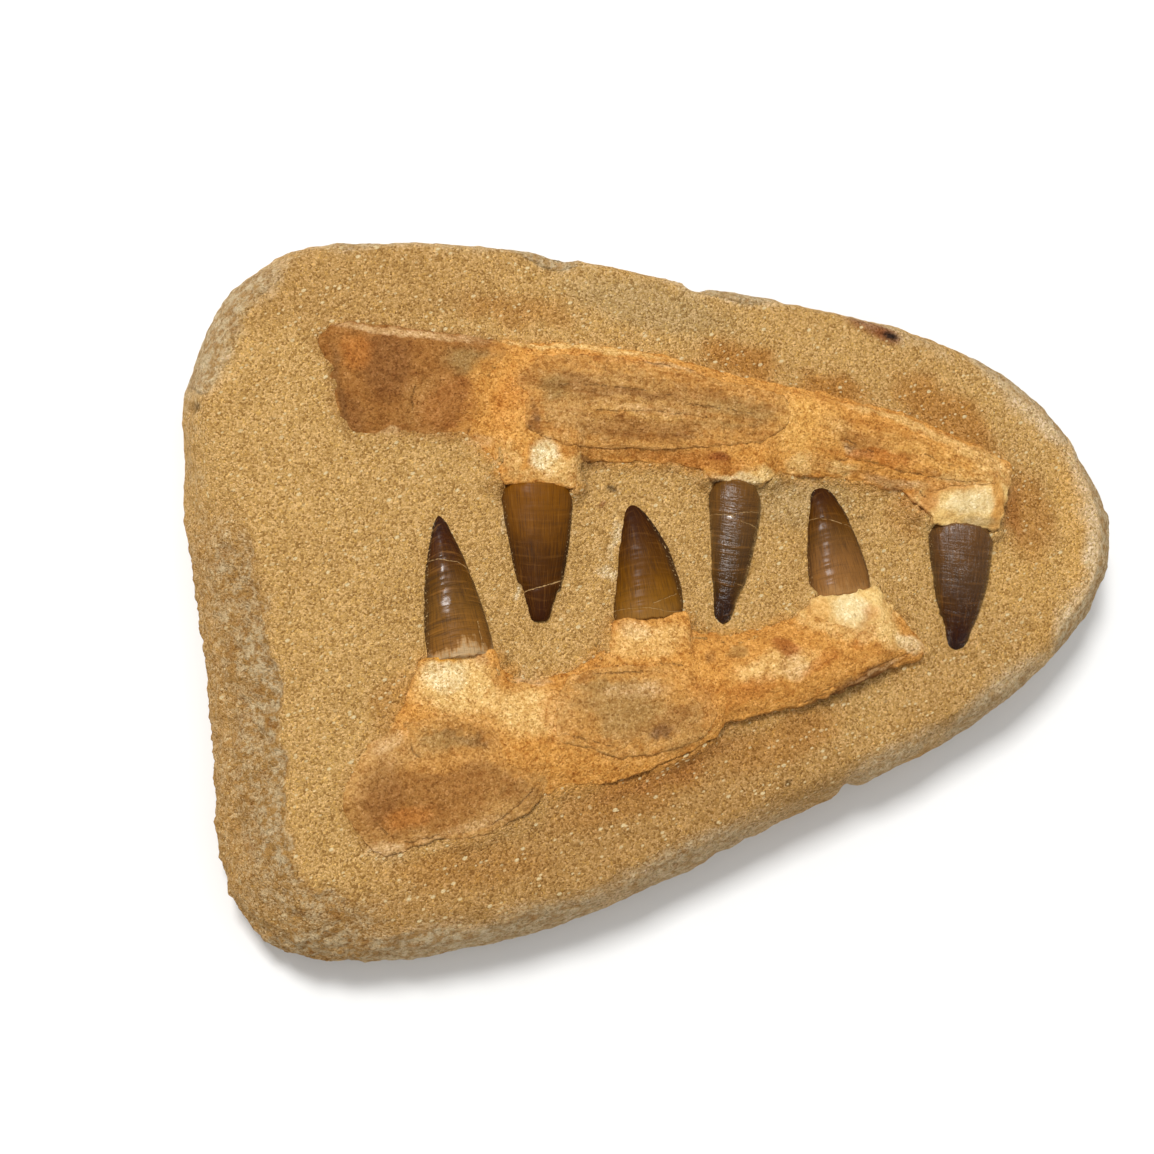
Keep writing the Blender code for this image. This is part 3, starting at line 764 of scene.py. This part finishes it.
# base, tip, width, taper and full follow the solids, and stops are tones from base to tip
# blunt fills the tip out and corner takes the base's corners off, in mm
# snaps are breaks: share of the length, slope, and how much narrower it is past them to west and east
# bands, striae and sparkle are depths of relief, and crackPale is how pale the cracks are
# gloss is the roughness all over and haze how strongly it reflects
# shine and shineRough are those of a coat in patches, which starts at matt, a share of the length
crowns = {
    "lower_tooth_rear": {
        "base": (-58.6, -18.7), "tip": (-64.8, 18.4), "width": 17.5, "taper": 0.8, "full": 0.55,
        "stops": [(0.0, (214, 178, 130)), (0.05, (196, 148, 92)), (0.09, (150, 102, 50)),
                  (0.35, (128, 88, 42)), (0.62, (102, 66, 26)), (0.8, (80, 46, 12)), (1.0, (52, 28, 6))],
        "blunt": 0.3, "corner": 0.0,
        "cracks": [[(-70, 5.4), (-65, 6.2), (-60, 5.6), (-55, 3.2)], [(-55, -10), (-53.6, -16)]],
        "bands": 0.8, "striae": 0.06, "sparkle": 0.03, "gloss": 0.38, "haze": 0.1, "crackPale": 0.5,
        "shine": 0.5, "shineRough": 0.2, "matt": 0.32,
    },
    "upper_tooth_rear": {
        "base": (-39, 26.3), "tip": (-37.8, -15), "width": 19.2, "taper": 0.83, "full": 0.5,
        "stops": [(0.0, (138, 86, 32)), (0.12, (132, 84, 36)), (0.3, (120, 76, 34)), (0.45, (92, 58, 28)),
                  (0.7, (82, 50, 24)), (1.0, (54, 32, 14))],
        "blunt": 0.9, "corner": 0.5,
        "snaps": [(0.63, 0.15, 1.0, 0.9)],
        "cracks": [[(-42.8, -1.4), (-38, -0.2), (-35, 0.9), (-32, 2)]],
        "bands": 0.06, "striae": 0.07, "sparkle": 0.03, "gloss": 0.42, "haze": 0.06, "crackPale": 0.7,
        "shine": 0.16, "shineRough": 0.24, "matt": -0.3,
    },
    "lower_tooth_middle": {
        "base": (-8.8, -7.1), "tip": (-13.2, 23.7), "width": 19.1, "taper": 0.67, "full": 0.42,
        "stops": [(0.0, (158, 112, 56)), (0.15, (140, 94, 38)), (0.35, (118, 76, 32)), (0.6, (92, 58, 24)),
                  (0.8, (78, 48, 20)), (1.0, (66, 40, 16))],
        "blunt": 0.3, "corner": 0.3,
        "cracks": [[(-8.5, -3.8), (-5, -2.4), (-2, -0.8)],
                   [(-18, -5.6), (-10, -5.0), (-4, -5.9), (0, -5.2)]],
        "bands": 0.03, "striae": 0.07, "sparkle": 0.03, "gloss": 0.45, "haze": 0.04, "crackPale": 0.3,
        "shine": 0.1, "shineRough": 0.3, "matt": -0.3,
    },
    "upper_tooth_middle": {
        "base": (15.6, 29.8), "tip": (11.4, -8.5), "width": 14.8, "taper": 0.55, "full": 0.2,
        "stops": [(0.0, (124, 84, 42)), (0.2, (116, 80, 44)), (0.45, (104, 74, 44)), (0.7, (84, 58, 34)),
                  (0.85, (58, 38, 20)), (1.0, (44, 28, 16))],
        "blunt": 0.7, "corner": 0.8,
        "snaps": [(0.72, 0.0, 0.1, 0.6)],
        "cracks": [[(7, 21.6), (12.2, 20.8), (16, 19), (22, 17.8)], [(12.2, 20.8), (22, 22.4)],
                   [(14, 2.6), (17, 2.2), (21, 1)]],
        "bands": 0.4, "striae": 0.09, "sparkle": 0.06, "gloss": 0.24, "haze": 0.5, "crackPale": 0.35,
        "shine": 1.0, "shineRough": 0.1, "matt": 0.24,
    },
    "lower_tooth_front": {
        "base": (45, 1.1), "tip": (39.6, 31.1), "width": 17.2, "taper": 0.64, "full": 0.5,
        "stops": [(0.0, (182, 134, 82)), (0.1, (158, 110, 62)), (0.3, (142, 98, 56)), (0.55, (112, 76, 40)),
                  (0.72, (98, 62, 28)), (0.9, (76, 46, 18)), (1.0, (66, 40, 16))],
        "blunt": 0.8, "corner": 0.3,
        "snaps": [(0.64, 0.0, 0.1, -0.3)],
        "cracks": [[(33, 20.4), (38, 21.6), (44, 20.4), (50, 19.2)]],
        "bands": 0.14, "striae": 0.08, "sparkle": 0.05, "gloss": 0.42, "haze": 0.05, "crackPale": 0.5,
        "shine": 0.22, "shineRough": 0.24, "matt": -0.3,
    },
    "upper_tooth_front": {
        "base": (80.1, 20.3), "tip": (77.7, -13.5), "width": 18.9, "taper": 0.66, "full": 0.4,
        "stops": [(0.0, (120, 84, 52)), (0.12, (112, 76, 44)), (0.4, (100, 70, 44)), (0.65, (78, 50, 30)),
                  (0.85, (62, 36, 18)), (1.0, (50, 28, 14))],
        "blunt": 0.9, "corner": 1.1,
        "snaps": [(0.72, 0.0, 0.7, 0.1)],
        "bands": 0.16, "striae": 0.16, "sparkle": 0.1, "gloss": 0.26, "haze": 0.48,
        "shine": 1.0, "shineRough": 0.1, "matt": 0.1,
    },
}


# depths of the relief that all six crowns have
crownRelief = {"wear": 0.35, "base": 0.9, "chips": 0.5, "crack": 0.15}


def crownLine(look):
    base = np.array(look["base"])
    return base, np.array(look["tip"]) - base


def shapeCrown(node, look):
    piece = copyOf(node, pieceName(node))
    editAll(piece)
    bpy.ops.mesh.tris_convert_to_quads(face_threshold=math.radians(40), shape_threshold=math.radians(60))
    bpy.ops.object.mode_set(mode="OBJECT")
    applied(piece, "SUBSURF", levels=3, render_levels=3)
    places = placesOf(piece)
    base, run = crownLine(look)
    length = np.hypot(*run)
    share = (places[:, :2] - base) @ run / length**2
    atBase = smoothStep(0.05, 0.0, share)
    inwards = -1 if run[1] > 0 else 1
    displace(piece, crownRelief["wear"], clouds(node + " wear", 5, 2), smoothStep(0.0, 0.1, share))
    displace(piece, crownRelief["base"] * inwards, weights=atBase, direction="Y")
    displace(piece, crownRelief["base"], clouds(node + " broken base", 1.6, 2), atBase, "Y")
    walls = smoothStep(0.6, 0.2, np.abs(normalsOf(piece)[:, 2]))
    displace(piece, crownRelief["chips"], clouds(node + " chipped edge", 1.5, 3), walls)
    # how far east of the crown's middle line each place is
    reach = (places[:, :2] - base) @ np.array([run[1], -run[0]]) / length * -inwards
    rounded = look["blunt"] * smoothStep(0.8, 0.97, share) - look["corner"] * smoothStep(0.09, 0.0, share)
    for half in (-1, 1):
        fuller = np.maximum(rounded, 0) * smoothStep(0, 1.6, reach * half)
        displace(piece, half, weights=fuller, direction="X")
        corner = np.maximum(-rounded, 0) / 2 * smoothStep(4, 8, reach * half)
        displace(piece, -2 * half, weights=corner, direction="X")
    for snapAt, slope, west, east in look.get("snaps", []):
        # past the break the crown is narrower on its west and east sides
        past = smoothStep(snapAt - 0.006, snapAt + 0.006, share - slope * reach / length)
        displace(piece, west, weights=past * smoothStep(0, 5, -reach), direction="X")
        displace(piece, -east, weights=past * smoothStep(0, 5, reach), direction="X")
    if "cracks" in look:
        away = crackLayer(piece, look["cracks"])
        displace(piece, -crownRelief["crack"], weights=smoothStep(0.5, 0.1, away))
    return piece


print("crowns: shape")
crownPieces = {node: shapeCrown(node, look) for node, look in crowns.items()}


# Finishes

# bump is the depth of the grain in mm, and the bones have the same sheen
stoneLook = {
    "rough": 0.92, "bump": 0.6, "sheen": 0.12,
    # pale shell bits: span, where one ends and is full, how few, how ragged, strength
    "bits": [(1.8, 0.28, 0.18, 0.78, 0.3, 1), (0.95, 0.36, 0.24, 0.84, 0, 0.8)],
}


def sandstone():
    paint = Shader("sandstone")
    crevices = paint.cells(0.5)
    cells = paint.cells(0.5, "Color")
    grains, chance = paint.part(cells), paint.part(cells, "Green")
    fine = paint.noise(0.3, 3, 0.7)
    stone = paint.layered(paint.painted("wash"), [
        (paint.noise(9, 4, 0.65), 0.42, 0.66, 0.45, "damp"), (grains, 0.45, 1.0, 1, "bright"),
        (grains, 0.4, 0.0, 0.85, "dark"), (chance, 0.86, 0.95, 0.7, "golden"),
        (fine, 0.46, 0.3, 0.85, "dark"), (fine, 0.53, 0.68, 1, "bright"),
    ])
    lying = paint.turned(0.5, (1.6, 1, 1))
    for span, end, full, few, ragged, strength in stoneLook["bits"]:
        reach = paint.cells(span, "Distance", lying) + (fine - 0.5) * ragged
        chosen = paint.level(paint.part(paint.cells(span, "Color", lying)), few, 0.92)
        stone = paint.mix(paint.level(reach, end, full) * chosen * strength, stone, palette["shell"])
    wear = paint.painted("wear", "Fac")
    crust = wear + (paint.noise(6, 5, 0.7) - 0.5) * 1.3 + (fine - 0.5) * 0.6 + (grains - 0.5) * 0.3
    crustMask = paint.level(crust, 0.25, 1.05)
    chalk = paint.mix(paint.level(paint.noise(2.4, 5, 0.7), 0.4, 0.6), palette["tan"], palette["crust"])
    chalk = paint.layered(chalk, [(grains, 0.4, 0.0, 0.5, "dark")])
    stone = paint.mix(crustMask * 0.75, stone, chalk)
    pitted = paint.noise(3.2, 5, 0.72)
    rough = paint.level(wear, 0.35, 0.8)
    # the pits of the worn stone darker, which is painted shade in them
    stone = paint.layered(stone, [(pitted, 0.5, 0.34, rough, "warm")])
    relief = (1 - crevices) * 0.8 + grains * 0.35 + fine * 0.9 + rough * pitted * 6
    return paint.finish({
        "Base Color": stone, "Roughness": stoneLook["rough"], "Specular IOR Level": stoneLook["sheen"],
        "Normal": paint.bump(relief, stoneLook["bump"]),
    })


# speckle is how thickly rusty grains lie, grain how much the sandy grains differ
finishes = {
    "bone": {"speckle": 0.7, "grain": 0.7, "rough": 0.75},
    "paste": {"speckle": 1.0, "grain": 0.7, "rough": 0.85},
    "cream": {"speckle": 0.4, "grain": 0.35, "rough": 0.85},
}


def jawFinish(node, look):
    finish = finishes[look["finish"]]
    paint = Shader(node.replace("_", " "))
    mottle = paint.noise(4.0, 5, 0.7)
    patches = paint.noise(1.4, 4, 0.65)
    fine = paint.noise(0.42, 3, 0.7)
    crevices = paint.cells(0.52)
    grains = paint.part(paint.cells(0.52, "Color"))
    speckle, grain, streak = finish["speckle"], finish["grain"], look["streak"]
    rows = [
        (mottle, 0.5, 0.66, 0.8, "pale"), (mottle, 0.5, 0.34, 0.7, "warm"),
        (patches, 0.52, 0.66, 0.7, "pale"), (patches, 0.48, 0.34, speckle, "warm"),
    ]
    relief = fine * 0.8 + (1 - crevices) * 0.4 + grains * 0.3 + patches * 0.6
    if streak:
        along = paint.turned(math.radians(look["turn"]), (9, 1, 1))
        fibre = paint.noise(0.5, 4, 0.7, along)
        broad = paint.noise(1.8, 3, 0.6, along)
        rows += [
            (fibre, 0.5, 0.34, streak, "warm"), (fibre, 0.53, 0.7, streak, "pale"),
            (broad, 0.52, 0.34, streak, "warm"),
        ]
        relief = relief + fibre * streak
    rows += [
        (fine, 0.48, 0.33, speckle, "rusty"), (fine, 0.55, 0.7, grain, "bright"),
        (grains, 0.6, 1.0, grain, "bright"), (grains, 0.38, 0.0, grain, "dark"),
    ]
    bone = paint.layered(paint.painted("wash"), rows)
    crack = paint.crackMask(0.3, 1.3) * paint.level(paint.noise(3.1), 0.4, 0.55)
    bone = paint.mix(crack * 0.5, bone, palette["shade"])
    return paint.finish({
        "Base Color": bone, "Roughness": finish["rough"], "Specular IOR Level": stoneLook["sheen"],
        "Normal": paint.bump(relief - crack * 0.8, 0.45, 0.9),
    })


def enamel(node, look):
    paint = Shader(node.replace("_", " "))
    base, run = crownLine(look)
    length = float(np.hypot(*run))
    turn = math.atan2(run[1], run[0]) - math.pi / 2
    local = paint.turned(turn, (1, length, 1), (*look["base"], faceHeight))
    parts = {axis: paint.node("ShaderNodeSeparateXYZ", {}, {0: local}, axis) for axis in ("X", "Y")}
    share = parts["Y"]
    rest = paint.maths("MAXIMUM", 1 - share, 0.04)
    half = rest ** look["taper"] * (share * look["full"] + 1) * (look["width"] / 2)
    across = parts["X"] / half
    bowed = share + across * across * 0.035
    flow = paint.node("ShaderNodeCombineXYZ", {}, {0: across * 11, 1: share * 2.6})
    hairs = paint.node("ShaderNodeCombineXYZ", {}, {0: across * 34, 1: share * 6})
    broad, threads = paint.noise(1, 3, 0.6, flow), paint.noise(1, 3, 0.6, hairs)
    rings = paint.node("ShaderNodeCombineXYZ", {}, {0: across * 0.6, 1: bowed * 34})
    bands = paint.noise(1, 3, 0.6, rings)
    cloud = paint.noise(4.5, 4, 0.65)
    shift = (cloud - 0.5) * 0.3 + (broad - 0.5) * 0.22 + (bands - 0.5) * 0.14
    # a little darker than the tones, because the gloss adds its own light
    stops = [(stop, np.maximum(shown(tone) * 0.8 - 0.008, 0.0015)) for stop, tone in look["stops"]]
    glaze = paint.node("ShaderNodeValToRGB", {"stops": stops}, {0: bowed + shift}, "Color")
    outwards = paint.maths("ABSOLUTE", across)
    # the last row darkens each crown towards its sides, which is painted shade of the gap round it
    glaze = paint.layered(glaze, [
        (broad, 0.54, 0.72, 0.2, "amber"), (threads, 0.52, 0.7, 0.2, "amber"),
        (threads, 0.5, 0.32, 0.45, "soot"), (bands, 0.54, 0.68, 0.1 + 0.3 * look["bands"], "amber"),
        (bands, 0.46, 0.32, 0.2 + 0.3 * look["bands"], "soot"), (outwards, 0.8, 1.02, 0.5, "soot"),
    ], palette, "MIX")
    crumbs = paint.level(paint.noise(0.6, 3, 0.6), 0.6, 0.66) * paint.level(outwards, 0.9, 1.0)
    glaze = paint.mix(crumbs * 0.8, glaze, palette["paleGrain"])
    relief = threads * look["striae"] + broad * look["striae"] + bands * look["bands"]
    relief = relief + paint.noise(0.42, 3) * look["sparkle"]
    if "cracks" in look:
        crack = paint.crackMask(0.2, 0.8) * paint.level(paint.noise(2.3), 0.3, 0.5)
        glaze = paint.mix(crack * look["crackPale"], glaze, palette["beige"])
        relief = relief - crack * 0.12
    shine = paint.level(cloud, 0.36, 0.56) * paint.level(bands, 0.42, 0.56)
    shine = shine * paint.level(share, look["matt"] - 0.1, look["matt"] + 0.1)
    return paint.finish({
        "Base Color": glaze, "Roughness": (cloud - 0.5) * 0.3 + look["gloss"],
        "Coat Weight": shine * look["shine"], "Coat Roughness": look["shineRough"],
        "Normal": paint.bump(relief, 1.0), "Specular IOR Level": look["haze"],
    })


def dress(piece, node, material):
    piece.data.materials.append(material)
    workOn(piece)
    bpy.ops.object.shade_smooth()
    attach(piece, "root")
    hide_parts(node)


def paintSlab():
    places = placesOf(slabPiece)
    colours = wash(slabPiece, "sand", slab["washes"], 2.4)
    wear = np.zeros(len(places))
    drifted = places + 4 * driftAt(places, 14)
    for crust in slab["crusts"]:
        wear = np.maximum(wear, crust[5] * spotAt(drifted, *crust[:5]))
    colours += (palette["brown"] - colours) * (slab["wallBrown"] * slabLeftWall)[:, None]
    rim = smoothStep(13, 5, slabInset)
    reach = slab["paleRim"] + slab["widerRim"] * smoothStep(70, 110, places[:, 0])
    worn = smoothStep(reach, reach - 8, slabInset + 4 * grainAt(places, 5)) * (1 - slabLeftWall)
    worn *= np.minimum(1, wear * 1.2)
    colours += (palette["crust"] - colours) * (slab["rimPaleness"] * worn)[:, None]
    marked, onTop = colours.copy(), smoothStep(20, 27, places[:, 2])
    washOver(marked, drifted * 0.2 + places * 0.8, slab["marks"])
    colours += (marked - colours) * onTop[:, None]
    wear = np.maximum(1.15 * wear * np.maximum(rim, slabLeftWall), 0.5 * smoothStep(9, 2, slabInset))
    wear = np.maximum(wear, slabLeftWall * (0.68 - 0.26 * smoothStep(7, 1, slabInset)))
    for mark in slab["marks"]:
        wear *= 1 - onTop * spotAt(places, *mark[1:6])
    bones = treeOf(bonePlaces.tolist())
    # the sand near the bones takes on their colour, most of all where it climbs them
    tint = smoothStep(4.2, 0.9, slabNearBone + 2.4 * grainAt(places, 2.2, 9.0))
    tint *= np.minimum(1, 0.25 + 0.75 * slabClimb)
    for i in np.flatnonzero(tint > 0.01).tolist():
        colours[i] += (boneColours[bones.find(places[i])[1]] - colours[i]) * 0.75 * tint[i]
    layer(slabPiece, "wash", colours)
    layer(slabPiece, "wear", wear)


print("finishes")
paintSlab()
dress(slabPiece, "matrix_slab", sandstone())
for node, piece in jawPieces.items():
    dress(piece, node, jawFinish(node, jawLooks[node]))
for node, piece in crownPieces.items():
    dress(piece, node, enamel(node, crowns[node]))


# Floor, light and camera

# aim and away are in millimetres; the sizes of the light and the floor and keyAway are in metres
studio = {
    "aim": (-27.936, 3.293, 32.0), "away": 520.0, "yaw": 12.0, "pitch": 10.0, "lens": 61.64,
    "sky": 0.66, "skyInGloss": 0.08, "keyPower": 22.0, "keySize": 0.36, "keyFrom": (-0.42, 0.5, 1.3),
    "keyAway": 1.6, "floorSize": 4,
}


def buildStudio():
    bpy.ops.mesh.primitive_plane_add(size=studio["floorSize"])
    floor = bpy.context.object
    floor.name = "floor"
    card = Shader("pale card")
    tint = card.mix(card.noise(60, 2), (0.80, 0.80, 0.79), (0.84, 0.84, 0.83))
    floor.data.materials.append(card.finish({"Base Color": tint, "Roughness": 0.9}))
    world = bpy.data.worlds.new("studio")
    bpy.context.scene.world = world
    world.use_nodes = True
    sky = world.node_tree.nodes["Background"]
    sky.inputs["Color"].default_value = (1, 1, 1, 1)
    rays = world.node_tree.nodes.new("ShaderNodeLightPath")
    strength = world.node_tree.nodes.new("ShaderNodeMix")
    strength.inputs["A"].default_value = studio["sky"]
    strength.inputs["B"].default_value = studio["skyInGloss"]
    world.node_tree.links.new(rays.outputs["Is Glossy Ray"], strength.inputs["Factor"])
    world.node_tree.links.new(strength.outputs["Result"], sky.inputs["Strength"])
    aim = Vector(studio["aim"]) * mm
    toKey = Vector(studio["keyFrom"]).normalized()
    bpy.ops.object.light_add(type="AREA", location=aim + toKey * studio["keyAway"])
    key = bpy.context.object
    key.data.size = studio["keySize"]
    key.data.energy = studio["keyPower"]
    key.rotation_euler = (aim - key.location).to_track_quat("-Z", "Y").to_euler()
    yaw, pitch = math.radians(studio["yaw"]), math.radians(studio["pitch"])
    toEye = Vector((-math.sin(yaw), -math.sin(pitch), 0))
    toEye.z = math.sqrt(1 - toEye.length_squared)
    bpy.ops.object.camera_add(location=aim + toEye * studio["away"] * mm)
    camera = bpy.context.object
    camera.data.lens = studio["lens"]
    camera.data.sensor_width = 36
    camera.data.clip_start = 0.01
    right = Vector((0, 1, 0)).cross(toEye).normalized()
    camera.rotation_euler = Matrix((right, toEye.cross(right), toEye)).transposed().to_euler()
    bpy.context.scene.camera = camera
    bpy.context.scene.view_settings.view_transform = "Standard"


print("studio")
buildStudio()
